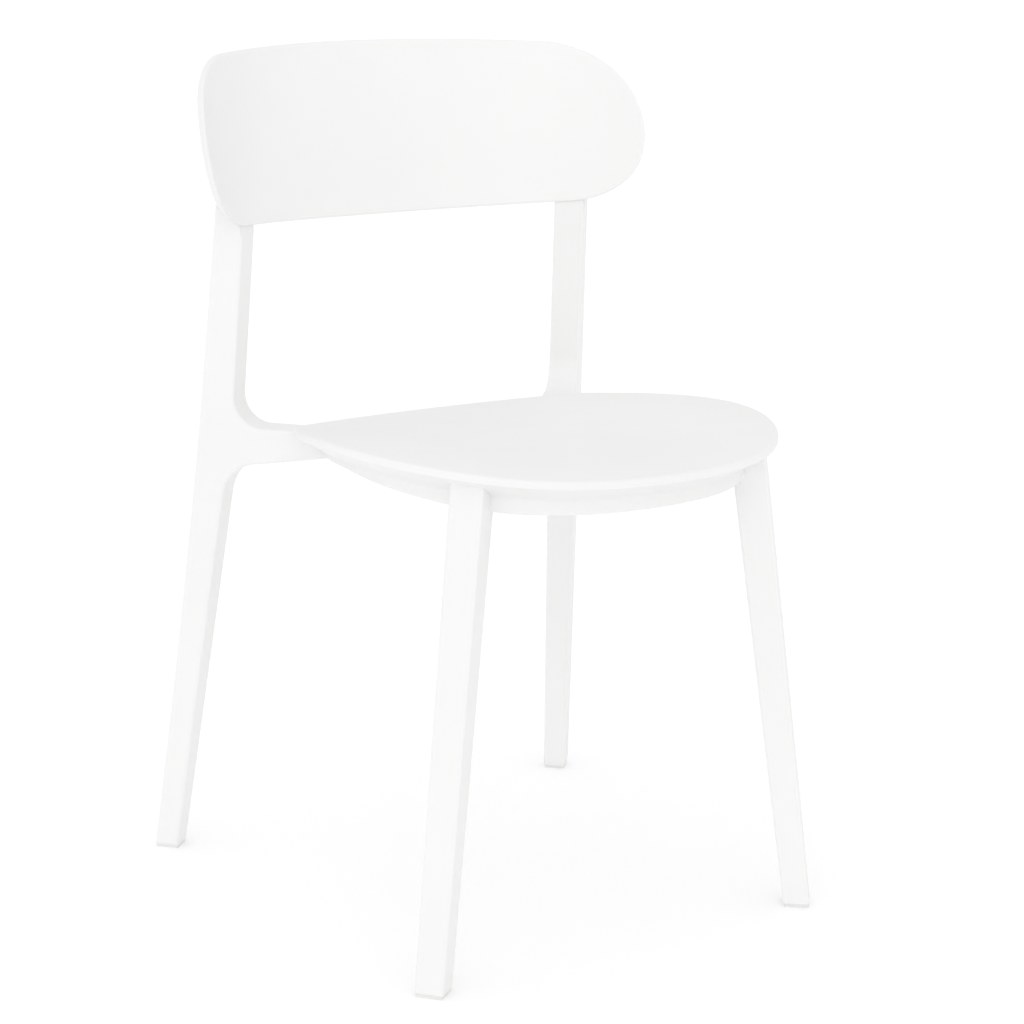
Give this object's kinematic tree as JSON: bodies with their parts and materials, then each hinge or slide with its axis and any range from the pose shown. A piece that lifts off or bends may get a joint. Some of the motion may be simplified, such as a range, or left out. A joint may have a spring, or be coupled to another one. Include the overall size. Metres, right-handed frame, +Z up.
{
  "type": "stacking chair",
  "caption": "Armless stacking chair in white moulded plastic with a round seat, a curved pill-shaped backrest and slim tapered legs.",
  "frame": {"origin": "on the floor under the middle of the chair's outer box", "axes": "+Z up; the sitter faces -Y; +X is the chair's left hand side seen by the sitter"},
  "size_m": [0.4838, 0.5389, 0.7708],
  "materials": {
    "body": "fine-textured white polypropylene moulding",
    "glide": "off-white hard nylon, lightly scuffed on the sole",
    "buffer": "soft translucent-white elastomer",
    "cap": "plain white polypropylene plug",
    "steel": "zinc-plated steel",
    "brass": "machined brass"
  },
  "bodies": {
    "root": {"backrest_panel": "body", "left_rear_frame": "body", "right_rear_frame": "body", "seat_shell": "body", "seat_ring": "body", "left_front_leg": "body", "right_front_leg": "body", "left_front_glide": "glide", "right_front_glide": "glide", "left_rear_glide": "glide", "right_rear_glide": "glide", "seat_screws": "steel", "backrest_screws": "steel", "backrest_screw_caps": "cap", "stacking_buffers": "buffer", "front_leg_bolts": "steel", "front_leg_washers": "steel", "front_leg_inserts": "brass", "rear_arm_bolts": "steel", "rear_arm_washers": "steel", "rear_arm_inserts": "brass"}
  },
  "joints": []
}
